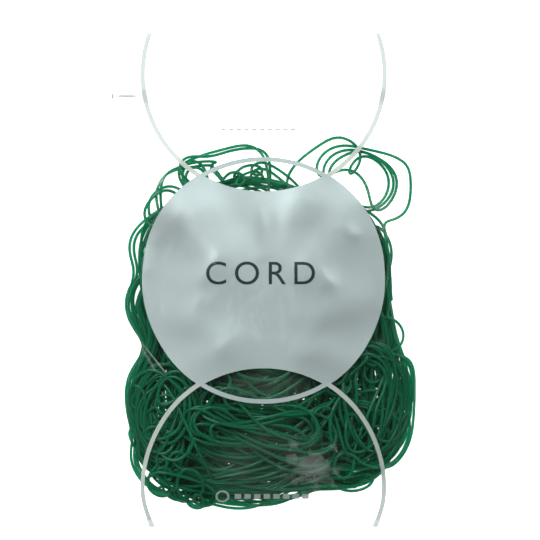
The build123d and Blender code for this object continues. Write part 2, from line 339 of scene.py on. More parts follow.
def add_curl(points, index):
    """Puts one small full loop into a line, as a slack cord throws now and then."""
    ahead = points[index + 1] - points[index]
    ahead /= np.linalg.norm(ahead)
    side = np.array([ahead[1], -ahead[0]])
    side *= -1 if side @ (points[index] - (0, -0.05)) > 0 else 1
    radius = rng.uniform(6, 10) * MM
    angles = np.linspace(0, 2 * math.pi, 9)[1:-1, None]
    curl = points[index] + radius * (np.sin(angles) * ahead * 1.3 + (1 - np.cos(angles)) * side)
    return np.concatenate([points[:index + 1], curl, points[index + 1:]])


FLAKED_POINTS = 2000
FLAKED_SHARE = 0.3
ROW_STEP, COLUMN_STEP = 2.1, 3.7


def flaked_layer():
    """Back and forth, first across and then along the heap: the cord that lies deepest."""
    places = []
    for row in range(40):
        reach = 75 + 5 * math.sin(row * 1.7) - 16 * math.exp(-row / 5)
        sides = (-1, -0.4, 0.3, 1) if row % 2 else (1, 0.4, -0.3, -1)
        places += [(side * reach, 26 + ROW_STEP * row) for side in sides]
    for column in range(41):
        reach = 48 + 5 * math.sin(column * 2.3)
        sides = (-1, -0.3, 0.4, 1) if column % 2 else (1, 0.4, -0.3, -1)
        places += [(-74 + COLUMN_STEP * column, 80 - side * reach) for side in sides]
    places = np.array(places)
    return (places + rng.normal(0, 0.5, places.shape)) * MM + (0, BOTTOM_Y)


EDGE_START, EDGE_REACH = 86 * MM, 9.5 * MM  # past the start, turns crowd up within the reach
SHAKE = 1.4  # mm by which a repeated edge round differs from the first


def lay_turns(name, turns, share_from, share_to, stray, curls, middle):
    """The route of one cord that goes round its middle line many times."""
    line = np.array(middle, dtype=float) * MM
    place, fan = line[:, :2] + (0, BOTTOM_Y), line[:, 2]
    ahead = np.roll(place, -1, axis=0) - np.roll(place, 1, axis=0)
    ahead /= np.linalg.norm(ahead, axis=1)[:, None]
    sideways = np.stack([ahead[:, 1], -ahead[:, 0]], axis=1)
    count = turns * len(line)
    stop = np.arange(count) % len(line)
    swing = wander(count, 3, 9) * fan[stop]
    slip = wander(count, 3, 7) * np.minimum(fan[stop], 4 * MM)
    flat = place[stop] + sideways[stop] * swing[:, None] + ahead[stop] * slip[:, None]
    for k in (0, 1):
        flat[:, k] += wander(count, len(line), 3 * len(line)) * stray * MM
    again, edge_round = EDGE_ROUNDS.get(name, (0, []))
    for number in range(again):
        shaken = np.array(edge_round) + rng.uniform(-SHAKE, SHAKE, (len(edge_round), 2)) * (number > 0)
        shaken[:, 0] *= 1 - 0.02 * number
        flat = np.concatenate([shaken * MM + (0, BOTTOM_Y), flat])
    if name == "cord_skein_inner_back":
        flat = np.concatenate([flaked_layer(), flat])
    for _ in range(curls):
        flat = add_curl(flat, int(rng.integers(2, len(flat) - 2)))
    flat = even_steps(flat, POINT_STEP)
    over = np.maximum(np.abs(flat[:, 0]) - EDGE_START, 0)
    flat[:, 0] -= np.sign(flat[:, 0]) * (over - EDGE_REACH * np.tanh(over / EDGE_REACH))
    share = share_from + (share_to - share_from) * (0.5 + 0.5 * wander(len(flat), 16, 50))
    if name == "cord_skein_inner_back":
        share[:FLAKED_POINTS] *= FLAKED_SHARE
    height = BACK_FILM_TOP + CORD_R + share * (room_height(*flat.T) - 2 * CORD_R)
    return np.column_stack([flat, height])


routes = {name: lay_turns(name, *facts) for name, facts in SKEINS.items()}
total = sum(len(r) for r in routes.values()) * POINT_STEP
print(len(routes), "cords,", round(total, 1), "m in all")

# %% [markdown]
# ## Pushing the turns apart
#
# Two real cords can't share a place. Cloth tools don't know thick cords, so the turns are settled
# by a small loop of our own: short straight pieces of cord that come closer than one diameter push
# each other away, mostly upwards and downwards, and stay in the room under the film. The rounds
# loosen the heap but don't clear it. Many crossing cords still run into each other, most of them by
# less than a third of their thickness and some right through. The cell prints what is left.

# %% Finding the pieces of cord that are close
ROUNDS = 140
PAIR_REACH = POINT_STEP + 3.2 * CORD_R


def close_pairs(places, reach):
    """Index pairs of the places that are within about one reach of each other."""
    cell = np.floor((places - places.min(0)) / reach).astype(np.int64) + 1
    _, wide, high = cell.max(0) + 2
    key = (cell[:, 0] * wide + cell[:, 1]) * high + cell[:, 2]
    order = np.argsort(key, kind="stable")
    ordered = key[order]
    found = []
    for step_x, step_y in ((0, 0), (0, 1), (1, -1), (1, 0), (1, 1)):
        column = key + (step_x * wide + step_y) * high
        first = np.searchsorted(ordered, column - 1, "left")
        count = np.searchsorted(ordered, column + 1, "right") - first
        one = np.repeat(np.arange(len(places)), count)
        along = np.arange(count.sum()) - np.repeat(np.cumsum(count) - count, count)
        other = order[np.repeat(first, count) + along]
        keep = other > one if (step_x, step_y) == (0, 0) else np.ones(len(one), bool)
        found.append(np.column_stack([one[keep], other[keep]]))
    pairs = np.concatenate(found)
    apart = np.linalg.norm(places[pairs[:, 0]] - places[pairs[:, 1]], axis=1)
    return pairs[apart < reach]


def nearest_shares(p1, d1, p2, d2):
    """How far along two straight pieces their nearest points are."""
    between = p1 - p2
    a, e = (d1 * d1).sum(1), (d2 * d2).sum(1)
    b, c, f = (d1 * d2).sum(1), (d1 * between).sum(1), (d2 * between).sum(1)
    s = np.clip((b * f - c * e) / np.maximum(a * e - b * b, 1e-18), 0, 1)
    t = np.clip((b * s + f) / e, 0, 1)
    return np.clip((b * t - c) / a, 0, 1), t


print("pieces count as close within", round(PAIR_REACH / MM, 1), "mm")


# %% [markdown]
# Each round finds by how much every close pair overlaps, shares the push between the two cords'
# points, and evens it out along the cord so that no point is pushed out of its line alone.

# %% Settling the heap
PAIRS_EVERY = 6
UPWARDS = (0.5, 0.5, 2.0)  # cords part more easily upwards and downwards than sideways
PUSH, EVEN_OUT = 1.4, 0.3
SINK = 0.02 * MM


def settle(cords, rounds):
    """Pushes overlapping pieces of cord apart for some rounds, and returns the cords' points."""
    first = np.concatenate(cords)
    at = first.copy()
    ends = np.cumsum([len(c) for c in cords])
    starts = np.setdiff1d(np.arange(len(at) - 1), ends - 1)
    inner = np.setdiff1d(starts, np.concatenate([[0], ends[:-1]]))
    diameter = 2 * CORD_R
    for number in range(rounds):
        step = at[starts + 1] - at[starts]
        if number % PAIRS_EVERY == 0:
            pairs = close_pairs(at[starts] + step / 2, PAIR_REACH)
            one, two = starts[pairs[:, 0]], starts[pairs[:, 1]]
            far = np.abs(one - two) > 2
            one, two = one[far], two[far]
        step_one, step_two = at[one + 1] - at[one], at[two + 1] - at[two]
        s, t = nearest_shares(at[one], step_one, at[two], step_two)
        gap = at[one] + step_one * s[:, None] - at[two] - step_two * t[:, None]
        distance = np.linalg.norm(gap, axis=1)
        near = distance < diameter
        i, j, s, t, gap, distance = one[near], two[near], s[near], t[near], gap[near], distance[near]
        gap[:, 2] = np.where(np.abs(gap[:, 2]) < 1e-5, 1e-5, gap[:, 2])
        way = gap * UPWARDS
        way /= np.linalg.norm(way, axis=1)[:, None]
        push = way * (0.5 * (diameter - distance))[:, None]
        where = np.concatenate([i, i + 1, j, j + 1])
        weight = np.concatenate([1 - s, s, 1 - t, t])
        moves = np.concatenate([push, push, -push, -push]) * weight[:, None]
        shared = np.maximum(np.bincount(where, weight, len(at)), 1)
        for k in range(3):
            at[:, k] += PUSH * np.bincount(where, moves[:, k], len(at)) / shared
        moved = at - first
        at[inner] += EVEN_OUT * ((moved[inner - 1] + moved[inner + 1]) / 2 - moved[inner])
        at[:, 2] -= SINK
        at[:, 0] = np.clip(at[:, 0], -BELLY_HALF_W + CORD_R, BELLY_HALF_W - CORD_R)
        top = BACK_FILM_TOP + room_height(at[:, 0], at[:, 1]) - CORD_R
        at[:, 2] = np.clip(at[:, 2], BACK_FILM_TOP + CORD_R, top)
    print("rounds", rounds, "pieces closer than a diameter", int(near.sum()),
          "deepest", round(float((diameter - distance).max()) / MM, 2), "mm")
    return np.split(at, ends[:-1])


SHARPEST = math.cos(math.radians(75))  # so sharp a turn in one step has about a two-diameter radius
EASINGS, EASED_RUN = 4, 5


def eased(points):
    """Rounds off a little the places where a cord folds sharper than it can."""
    for _ in range(EASINGS):
        steps = np.diff(points, axis=0)
        ways = steps / np.maximum(np.linalg.norm(steps, axis=1), 1e-6)[:, None]
        sharp = (ways[1:] * ways[:-1]).sum(1) < SHARPEST
        near = np.flatnonzero(np.convolve(sharp, np.ones(EASED_RUN), "same") > 0) + 1
        points[near] = points[near] / 2 + (points[near - 1] + points[near + 1]) / 4
    return points


settled = dict(zip(routes, settle([r.copy() for r in routes.values()], ROUNDS)))
settled = {name: eased(points) for name, points in settled.items()}


# %% [markdown]
# ## The cords themselves
#
# Each skein becomes one NURBS curve with a round section, so that it has its real length and can
# be measured. The order and the end setting come after the points, or the line would stay angular.

# %% Building the cords
FLATS_MEND = 1.06  # a cord drawn with few flat sides is this much thinner than the round one


def build_cord(name, points):
    curve = bpy.data.curves.new(name, "CURVE")
    curve.dimensions = "3D"
    curve.resolution_u = 3
    curve.bevel_depth = 1.0  # metres, which each point's radius scales down to the cord's own
    curve.bevel_resolution = 2
    curve.use_fill_caps = True
    spline = curve.splines.new("NURBS")
    spline.points.add(len(points) - 1)
    spline.points.foreach_set("co", np.column_stack([points, np.ones(len(points))]).ravel())
    spline.points.foreach_set("radius", np.full(len(points), CORD_R * FLATS_MEND))
    spline.order_u = 3
    spline.use_endpoint_u = True
    piece = bpy.data.objects.new(name.replace("cord_", "green_"), curve)
    bpy.context.scene.collection.objects.link(piece)
    length = float(np.linalg.norm(np.diff(points, axis=0), axis=1).sum())
    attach(piece, "root")
    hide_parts(name)
    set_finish(piece, "green_cord")
    return piece, length


cords = {}
for name, points in settled.items():
    cords[name], length = build_cord(name, points)
    print(name, round(length, 2), "m")

# %% [markdown]
# ## The shape of the front film
#
# The film hangs over the heap like a tent: it touches the highest turns and spans the gaps. A
# grid of heights finds that shape. Each height is pulled to the mean of its neighbours, and never
# falls below the cord under it. Creases are then laid on it, where the film was bent or pulled.

# %% Heights of the heap on a grid
CELL = 1.25 * MM
FILM_GAP = 0.4 * MM
SEALED_HALF_W = HALF_W - 2 * MM
film_low, film_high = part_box("front_film")
grid_x = np.linspace(-SEALED_HALF_W, SEALED_HALF_W, int(2 * SEALED_HALF_W / CELL) + 1)
grid_y = np.linspace(film_low.y, film_high.y, int((film_high.y - film_low.y) / CELL) + 1)
cell_x, cell_y = grid_x[1] - grid_x[0], grid_y[1] - grid_y[0]
FLAT_Z = BACK_FILM_TOP + 0.2 * MM


def heap_heights():
    """The highest cord surface over each grid point."""
    heights = np.full((len(grid_x), len(grid_y)), FLAT_Z)
    for points in settled.values():
        fine = np.concatenate([points[:-1] + (points[1:] - points[:-1]) * s for s in (0, 0.25, 0.5, 0.75)])
        column = np.rint((fine[:, 0] - grid_x[0]) / cell_x).astype(int)
        row = np.rint((fine[:, 1] - grid_y[0]) / cell_y).astype(int)
        for dx in (-1, 0, 1):
            for dy in (-1, 0, 1):
                i = np.clip(column + dx, 0, len(grid_x) - 1)
                j = np.clip(row + dy, 0, len(grid_y) - 1)
                away = (grid_x[i] - fine[:, 0]) ** 2 + (grid_y[j] - fine[:, 1]) ** 2
                top = fine[:, 2] + np.sqrt(np.maximum((2 * CORD_R) ** 2 - away, 0)) - CORD_R
                np.maximum.at(heights, (i, j), np.where(away < (2 * CORD_R) ** 2, top, 0) + FILM_GAP)
    return heights


def blurred(field, times):
    for _ in range(times):
        padded = np.pad(field, 1, mode="edge")
        field = (padded[:-2, 1:-1] + padded[2:, 1:-1] + padded[1:-1, :-2] + padded[1:-1, 2:]) / 4
    return field


def widened(field, times):
    """Each height becomes the highest of itself and its neighbours."""
    for _ in range(times):
        padded = np.pad(field, 1, mode="edge")
        field = np.maximum.reduce([
            field, padded[:-2, 1:-1], padded[2:, 1:-1], padded[1:-1, :-2], padded[1:-1, 2:]])
    return field


def hold_edges(field):
    """The film is held down at its two sides and its bottom."""
    field[0], field[-1], field[:, 0] = FLAT_Z, FLAT_Z, FLAT_Z
    return field


def tent_over(obstacle, rounds):
    field = obstacle.copy()
    for _ in range(rounds):
        field = hold_edges(np.maximum(blurred(field, 1), obstacle))
    return field


SOFTEN = 3
heap = heap_heights()
for node in ("zip_rib_strip", "zip_groove_strip"):
    zip_low, zip_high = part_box(node)
    rows = (grid_y > zip_low.y) & (grid_y < zip_high.y)
    heap[:, rows] = np.maximum(heap[:, rows], zip_high.z + FILM_GAP)
tent = tent_over(widened(heap, SOFTEN), 2500)
film_height = hold_edges(blurred(tent, SOFTEN))

# %% [markdown]
# Film under slight tension doesn't lie smooth: it carries long soft waves, and sharp creases where
# it was folded. Each wave is a line from here to there with a width and a height, and only ever
# lifts the film, so the cord stays under it.

# %% Waves and creases
WAVES = [
    ((-60, 214), (-8, 150), 13, 3.0), ((-34, 228), (2, 172), 10, 1.8), ((26, 228), (8, 168), 11, 1.8),
    ((62, 206), (14, 158), 13, 2.2), ((-70, 140), (-20, 128), 12, 1.6), ((72, 150), (26, 136), 13, 1.7),
    ((-50, 104), (-10, 124), 12, 1.5), ((54, 104), (16, 122), 11, 1.6), ((0, 208), (4, 190), 4, 0.7),
    ((-80, 119), (-64, 100), 1.6, 0.9), ((-86, 166), (-78, 150), 2, 0.5), ((14, 47), (40, 30), 5, 1.5),
    ((44, 46), (28, 22), 4, 1.2), ((48, 24), (60, 14), 1.5, 0.7), ((-30, 40), (-10, 24), 3, 0.8),
]
mesh_x, mesh_y = np.meshgrid(grid_x, grid_y, indexing="ij")
grip = np.clip((film_height - FLAT_Z) / (3 * MM), 0, 1)
for start, end, width, lift in WAVES:
    start, end = (np.array(v) * MM + (0, BOTTOM_Y) for v in (start, end))
    run = end - start
    along = ((mesh_x - start[0]) * run[0] + (mesh_y - start[1]) * run[1]) / (run @ run)
    along = np.clip(along, 0, 1)
    away = np.hypot(mesh_x - start[0] - along * run[0], mesh_y - start[1] - along * run[1])
    fade = np.sin(math.pi * np.clip(along * 0.8 + 0.1, 0, 1))
    film_height += grip * fade * lift * MM * np.exp(-((away / (width * MM)) ** 2))
print("film stands", round(float(film_height.max()) / MM, 1), "mm high")


def film_at(x, y):
    """Height of the front film over any place, between the grid's points."""
    u = np.clip((np.asarray(x) - grid_x[0]) / cell_x, 0, len(grid_x) - 1.001)
    v = np.clip((np.asarray(y) - grid_y[0]) / cell_y, 0, len(grid_y) - 1.001)
    i, j = u.astype(int), v.astype(int)
    a, b = u - i, v - j
    low = film_height[i, j] * (1 - a) + film_height[i + 1, j] * a
    high = film_height[i, j + 1] * (1 - a) + film_height[i + 1, j + 1] * a
    return low * (1 - b) + high * b


# %% [markdown]
# ## Films
#
# Both films start as a grid primitive with one vertex for each height, so that the fine creases
# have something to bend. Solidify then gives them a real, closed thickness.

# %% Front and back film
FILM_T = 0.08 * MM


def film_sheet(name, heights, node):
    bpy.ops.object.select_all(action="DESELECT")
    bpy.ops.mesh.primitive_grid_add(x_subdivisions=len(grid_x) - 1, y_subdivisions=len(grid_y) - 1, size=2)
    piece = bpy.context.object
    piece.name = name
    count = len(piece.data.vertices)
    co = np.empty(count * 3)
    piece.data.vertices.foreach_get("co", co)
    co = co.reshape(-1, 3)
    i = np.rint((co[:, 0] + 1) / 2 * (len(grid_x) - 1)).astype(int)
    j = np.rint((co[:, 1] + 1) / 2 * (len(grid_y) - 1)).astype(int)
    co = np.column_stack([grid_x[i], grid_y[j], heights[i, j]])
    piece.data.vertices.foreach_set("co", co.ravel())
    piece.data.update()
    thicken(piece, FILM_T)
    bpy.ops.object.shade_smooth()
    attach(piece, "root")
    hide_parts(node)
    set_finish(piece, "clear_film")
    return piece


def thicken(piece, thickness):
    """Gives a sheet a closed thickness below its surface."""
    modifier = piece.modifiers.new("thickness", "SOLIDIFY")
    modifier.thickness = thickness
    modifier.offset = -1
    bpy.ops.object.modifier_apply(modifier=modifier.name)


front = film_sheet("clear_front_film", film_height, "front_film")
back_height = np.full_like(film_height, BACK_FILM_TOP)
back = film_sheet("clear_back_film", back_height, "back_film")
print(len(front.data.polygons), "faces in a film")

# %% [markdown]
# ## The print
#
# The ink is on the inside of the front film: a big disc with two clear lenses, and two rings that
# run off the pouch. Each print is a thin mesh whose every vertex is dropped to just under the film.

# %% Helpers for the print
DISC_Y = -0.8 * MM
RING_R, RING_LINE, RING_PITCH = 78.3 * MM, 2.9 * MM, 134 * MM
INK_DROP = 0.16 * MM
INK_T = 0.02 * MM
PRINT_SHIFT = -1.5 * MM
calm = blurred(film_height, 40)
slope_x, slope_y = np.gradient(calm, cell_x, cell_y)
run_x = np.cumsum(np.sqrt(1 + slope_x**2), axis=0) * cell_x
run_x -= run_x[len(grid_x) // 2]
run_y = np.cumsum(np.sqrt(1 + slope_y[len(grid_x) // 2] ** 2)) * cell_y
run_y += grid_y[-1] - run_y[-1]
flat_y = np.concatenate([[run_y[0] - 5 * MM], run_y])
seen_y = np.concatenate([[cad_low.y], grid_y])
taken_up = run_y[-1] - run_y[0] - (grid_y[-1] - grid_y[0])
print("the bulge takes up", round(float(taken_up) / MM, 1), "mm of film lengthwise")


def wrapped(x, y):
    """Where a place on the flat, unfilled film ends up on the bulging one, seen from above."""
    y = np.interp(y, flat_y, seen_y)
    rows = np.clip(np.rint((y - grid_y[0]) / cell_y).astype(int), 0, len(grid_y) - 1)
    x = np.array([np.interp(one, run_x[:, row], grid_x) for one, row in zip(x, rows)])
    return x + PRINT_SHIFT, y


def finish_print(piece, node, slot, drop=INK_DROP):
    """Drops a flat print onto the film's underside and gives it a thickness."""
    count = len(piece.data.vertices)
    co = np.empty(count * 3)
    piece.data.vertices.foreach_get("co", co)
    co = co.reshape(-1, 3)
    co[:, 0], co[:, 1] = wrapped(co[:, 0], co[:, 1])
    co[:, 2] = film_at(co[:, 0], co[:, 1]) - drop
    piece.data.vertices.foreach_set("co", co.ravel())
    piece.data.update()
    bpy.context.view_layer.objects.active = piece
    thicken(piece, INK_T)
    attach(piece, "root")
    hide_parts(node)
    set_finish(piece, slot)
    return piece


def select_vertices(piece, chosen):
    """Selects vertices by a test of their place, in edit mode."""
    bpy.ops.object.mode_set(mode="EDIT")
    bpy.ops.mesh.select_all(action="DESELECT")
    bpy.ops.object.mode_set(mode="OBJECT")
    for vertex in piece.data.vertices:
        vertex.select = chosen(vertex.co)
    bpy.ops.object.mode_set(mode="EDIT")


def line_ring(name, centre_y, middle=RING_R, line=RING_LINE, centre_x=0, steps=4, segments=360):
    """A flat ring: a circle, extruded inwards and scaled a few times."""
    bpy.ops.object.select_all(action="DESELECT")
    outer = middle + line / 2
    bpy.ops.mesh.primitive_circle_add(vertices=segments, radius=outer, location=(0, 0, 0))
    piece = bpy.context.object
    piece.name = name
    bpy.ops.object.mode_set(mode="EDIT")
    bpy.ops.mesh.select_all(action="SELECT")
    radius = outer
    for _ in range(steps):
        smaller = radius - line / steps
        bpy.ops.mesh.extrude_region_move()
        bpy.ops.transform.resize(value=(smaller / radius,) * 3, center_override=(0, 0, 0))
        radius = smaller
    bpy.ops.mesh.select_all(action="SELECT")
    bpy.ops.mesh.normals_make_consistent(inside=False)
    bpy.ops.transform.translate(value=(centre_x, centre_y, 0))
    bpy.ops.object.mode_set(mode="OBJECT")
    return piece


# %% [markdown]
# The two rings are printed lines that run off the top and bottom edges of the pouch. They could be
# bent bars, but a flat ring cut at the edge, and where the disc begins, bends with the film.

# %% Rings
def clipped_ring(name, centre_y, edge_y, node):
    """A ring cut off at the pouch's edge and where the disc begins."""
    piece = line_ring(name, centre_y)
    side = 1 if edge_y > 0 else -1
    bpy.ops.object.mode_set(mode="EDIT")
    bpy.ops.mesh.select_all(action="SELECT")
    bpy.ops.mesh.bisect(plane_co=(0, edge_y, 0), plane_no=(0, side, 0), clear_outer=True)
    bpy.ops.object.mode_set(mode="OBJECT")
    select_vertices(piece, lambda co: math.hypot(co.x, co.y - DISC_Y) < RING_R)
    bpy.ops.mesh.delete(type="VERT")
    bpy.ops.object.mode_set(mode="OBJECT")
    return finish_print(piece, node, "silver_ink")


prints = [
    clipped_ring("silver_ring_top", DISC_Y + RING_PITCH, cad_high.y, "print_ring_top"),
    clipped_ring("silver_ring_bottom", DISC_Y - RING_PITCH, flat_y[0], "print_ring_bottom"),
]


print([ring.name for ring in prints])


# %% [markdown]
# The disc is solid ink between two lens-shaped clear windows, with a thin line round both windows.
# A grid is stretched so that each of its columns runs from edge to edge, which keeps the outline
# smooth and leaves plenty of faces inside to follow the film. The line ring is then joined to it.

# %% Disc panel
def disc_panel():
    """A grid whose columns reach from one edge of the panel to the other."""
    columns, rows = 140, 110
    bpy.ops.object.select_all(action="DESELECT")
    bpy.ops.mesh.primitive_grid_add(x_subdivisions=columns, y_subdivisions=rows, size=2)
    piece = bpy.context.object
    piece.name = "silver_disc"
    outer, inner = RING_R + RING_LINE / 2, RING_R - RING_LINE / 2
    for vertex in piece.data.vertices:
        x = outer * math.sin(vertex.co.x * math.pi / 2)
        reach = math.sqrt(max(outer**2 - x**2, 0))
        lens = RING_PITCH - math.sqrt(inner**2 - x**2) if abs(x) < inner else reach
        half = min(reach, lens)
        vertex.co = (x, DISC_Y + half * vertex.co.y, 0)
    bpy.ops.object.mode_set(mode="EDIT")
    bpy.ops.mesh.select_all(action="SELECT")
    bpy.ops.mesh.remove_doubles(threshold=1e-6)
    bpy.ops.object.mode_set(mode="OBJECT")
    outline = line_ring("disc_outline", DISC_Y)
    select_vertices(outline, lambda co: math.hypot(co.x, abs(co.y - DISC_Y) - RING_PITCH) > RING_R)
    bpy.ops.mesh.delete(type="VERT")
    bpy.ops.object.mode_set(mode="OBJECT")
    piece.select_set(True)
    bpy.context.view_layer.objects.active = piece
    bpy.ops.object.join()
    return finish_print(piece, "print_disc", "silver_ink")


prints.append(disc_panel())
print([p.name for p in prints])


# %% [markdown]
# A word in dark ink stands in the middle of the disc, and two rows of pale marks stand under the
# zip and near the bottom. The word is text made into a mesh, cut fine enough to bend with the film.
# The marks are plain dashes, and the lower row begins with a small ring.

# %% Words and marks
def print_text(name, words, size, place, spacing=1.0):
    """Text turned into a mesh fine enough to bend with the film."""
    bpy.ops.object.select_all(action="DESELECT")
    bpy.ops.object.text_add(location=(0, 0, 0))
    piece = bpy.context.object
    piece.name = name
    piece.data.body = words
    piece.data.size = size
    piece.data.align_x = "CENTER"
    piece.data.align_y = "CENTER"
    piece.data.space_character = spacing
    bpy.ops.object.convert(target="MESH")
    bpy.ops.object.mode_set(mode="EDIT")
    bpy.ops.mesh.select_all(action="SELECT")
    bpy.ops.mesh.quads_convert_to_tris()
    bpy.ops.mesh.subdivide(number_cuts=2)
    bpy.ops.transform.translate(value=(place[0], place[1], 0))
    bpy.ops.object.mode_set(mode="OBJECT")
    return piece


word = print_text("dark_word", "CORD", 21 * MM, (-2 * MM, 2 * MM), 1.35)
prints.append(finish_print(word, "print_word", "dark_ink", drop=0.09 * MM))


def dash_row(name, x_start, y, count, dash):
    """A row of short dashes, each a small subdivided plane."""
    length, height, gap = dash
    bpy.ops.object.select_all(action="DESELECT")
    bpy.ops.mesh.primitive_grid_add(x_subdivisions=6, y_subdivisions=2, size=2)
    piece = bpy.context.object
    piece.name = name
    bpy.ops.object.mode_set(mode="EDIT")
    bpy.ops.mesh.select_all(action="SELECT")
    bpy.ops.transform.resize(value=(length / 2, height / 2, 1), center_override=(0, 0, 0))
    bpy.ops.transform.translate(value=(x_start, y, 0))
    bpy.ops.object.mode_set(mode="OBJECT")
    row = piece.modifiers.new("row", "ARRAY")
    row.count = count
    row.use_relative_offset = False
    row.use_constant_offset = True
    row.constant_offset_displace = (length + gap, 0, 0)
    bpy.ops.object.modifier_apply(modifier=row.name)
    return piece


upper = dash_row("white_mark_upper", -26 * MM, BOTTOM_Y + 257 * MM, 10, (3 * MM, 1.2 * MM, 2 * MM))
prints.append(finish_print(upper, "print_mark_upper", "white_ink"))
lower = dash_row("white_mark_lower", -16.5 * MM, BOTTOM_Y + 17 * MM, 8, (4.2 * MM, 3.6 * MM, 2 * MM))
badge = line_ring("badge", BOTTOM_Y + 17 * MM, 3.85 * MM, 1.3 * MM, -26.5 * MM, 1, 48)
lower.select_set(True)
bpy.context.view_layer.objects.active = lower
bpy.ops.object.join()
prints.append(finish_print(lower, "print_mark_lower", "white_ink"))
print(len(prints), "prints")

# %% [markdown]
# ## Finishes
#
# The cord is an extruded elastomer. Its skin is smooth enough for a narrow glint along each turn.
# It is a little translucent, so a thin strand with light behind it looks paler than the heap. A
# share of translucent shader over a glossy body gives both.

# %% Green elastomer cord
cord_rubber, tree, output = new_material("extruded green elastomer")
place = add_node(tree, "ShaderNodeTexCoord")
tint = add_node(tree, "ShaderNodeTexNoise", {"Scale": 1 / (25 * MM), "Detail": 3},
                {"Vector": place.outputs["Object"]})
shade = add_node(tree, "ShaderNodeMix", {"A": srgb("005639"), "B": srgb("007F57")},
                 {"Factor": tint.outputs["Fac"]}, data_type="RGBA")
grain = add_node(tree, "ShaderNodeTexNoise", {"Scale": 1 / (0.5 * MM), "Detail": 2},
                 {"Vector": place.outputs["Object"]})
skin = add_node(tree, "ShaderNodeBump", {"Strength": 0.15, "Distance": 0.05 * MM},
                {"Height": grain.outputs["Fac"]})
rubber = add_node(tree, "ShaderNodeBsdfPrincipled", {
    "Roughness": 0.27, "IOR": 1.5, "Subsurface Weight": 0.3, "Subsurface Scale": 1.2 * MM,
    "Subsurface Radius": (0.15, 1.0, 0.6),
}, {"Base Color": shade.outputs["Result"], "Normal": skin.outputs["Normal"]})
glow = add_node(tree, "ShaderNodeBsdfTranslucent", {"Color": srgb("66E2C2")})
elastomer = add_node(tree, "ShaderNodeMixShader", {"Fac": 0.48}, {1: rubber.outputs[0], 2: glow.outputs[0]})
tree.links.new(elastomer.outputs[0], output.inputs["Surface"])
for piece in cords.values():
    piece.data.materials.append(cord_rubber)
print(cord_rubber.name, "on", len(cords), "cords")


# %% [markdown]
# The film is clear oriented polyolefin, drawn thin between rollers. It mirrors a few hundredths of
# the light and lets the rest through, so it is mostly a transparent shader. Soft milky patches and
# crisp box-shaped patches in the material are painted sheen and painted glints, where the film
# would catch the light over the heap and along a crease. The seals are the same film melted
# together, and the zip is solid polyethylene, which bends light as glass does, with a thin grey
# painted shadow of its profile near its left end.

# %% Clear film
def soft_spot(tree, place, centre, reach, strength, core=0.4, ragged=0.0):
    """A soft patch on the film: full strength inside its core and nothing at its reach."""
    away = add_node(tree, "ShaderNodeVectorMath", {1: centre}, {0: place}, operation="SUBTRACT")
    scaled = add_node(tree, "ShaderNodeVectorMath", {1: reach}, {0: away.outputs[0]}, operation="DIVIDE")
    length = add_node(tree, "ShaderNodeVectorMath", {}, {0: scaled.outputs[0]}, operation="LENGTH")
    grain = add_node(tree, "ShaderNodeTexNoise", {"Scale": 1 / (7.7 * MM), "Detail": 3.0}, {"Vector": place})
    torn = add_node(tree, "ShaderNodeMath", {1: -0.5}, {0: grain.outputs["Fac"]}, operation="ADD")
    edge = add_node(tree, "ShaderNodeMath", {1: ragged},
                    {0: torn.outputs[0], 2: length.outputs["Value"]}, operation="MULTIPLY_ADD")
    spot = add_node(tree, "ShaderNodeMapRange", {1: 1.0, 2: core, 3: 0.0, 4: strength},
                    {0: edge.outputs[0]}, interpolation_type="SMOOTHSTEP")
    return spot.outputs[0]


def clear_plastic(name, haze, roughness, shine_share=0.02, spots=(), glint_boxes=(), haze_sheen_crush_colour="F2F5F4"):
    """Thin clear plastic: mostly see-through, a mirror at low angles, with a little haze."""
    material, tree, output = new_material(name)
    facing = add_node(tree, "ShaderNodeLayerWeight", {"Blend": 0.5})
    steep = add_node(tree, "ShaderNodeMath", {1: 4.0}, {0: facing.outputs["Facing"]}, operation="POWER")
    mirror = add_node(tree, "ShaderNodeMath", {1: 0.6, 2: shine_share}, {0: steep.outputs[0]},
                      operation="MULTIPLY_ADD")
    place = add_node(tree, "ShaderNodeTexCoord").outputs["Object"]
    veil = add_node(tree, "ShaderNodeValue")
    veil.outputs[0].default_value = haze
    cloud = add_node(tree, "ShaderNodeTexNoise", {"Scale": 1 / (14 * MM), "Detail": 3}, {"Vector": place})
    # The spots and the glint boxes mix a diffuse share into the film: painted sheen and painted glints on
    # the front film, and the dark crushed zip end on the left seal.
    patches = [soft_spot(tree, place, *facts) for facts in spots]
    patches += [painted_glint_box(tree, place, *facts) for facts in glint_boxes]
    for spot in patches:
        veil = add_node(tree, "ShaderNodeMath", {},
                        {0: spot, 1: cloud.outputs["Fac"], 2: veil.outputs[0]}, operation="MULTIPLY_ADD")
    through = add_node(tree, "ShaderNodeBsdfTransparent", {"Color": srgb("FCFDFC")})
    haze_sheen_crush_diffuse = add_node(tree, "ShaderNodeBsdfDiffuse", {"Color": srgb(haze_sheen_crush_colour)})
    body = add_node(tree, "ShaderNodeMixShader", {},
                    {0: veil.outputs[0], 1: through.outputs[0], 2: haze_sheen_crush_diffuse.outputs[0]})
    shine = add_node(tree, "ShaderNodeBsdfGlossy", {"Color": srgb("FFFFFF"), "Roughness": roughness})
    film = add_node(tree, "ShaderNodeMixShader", {}, {
        0: mirror.outputs[0], 1: body.outputs[0], 2: shine.outputs[0]})
    tree.links.new(film.outputs[0], output.inputs["Surface"])
    return material


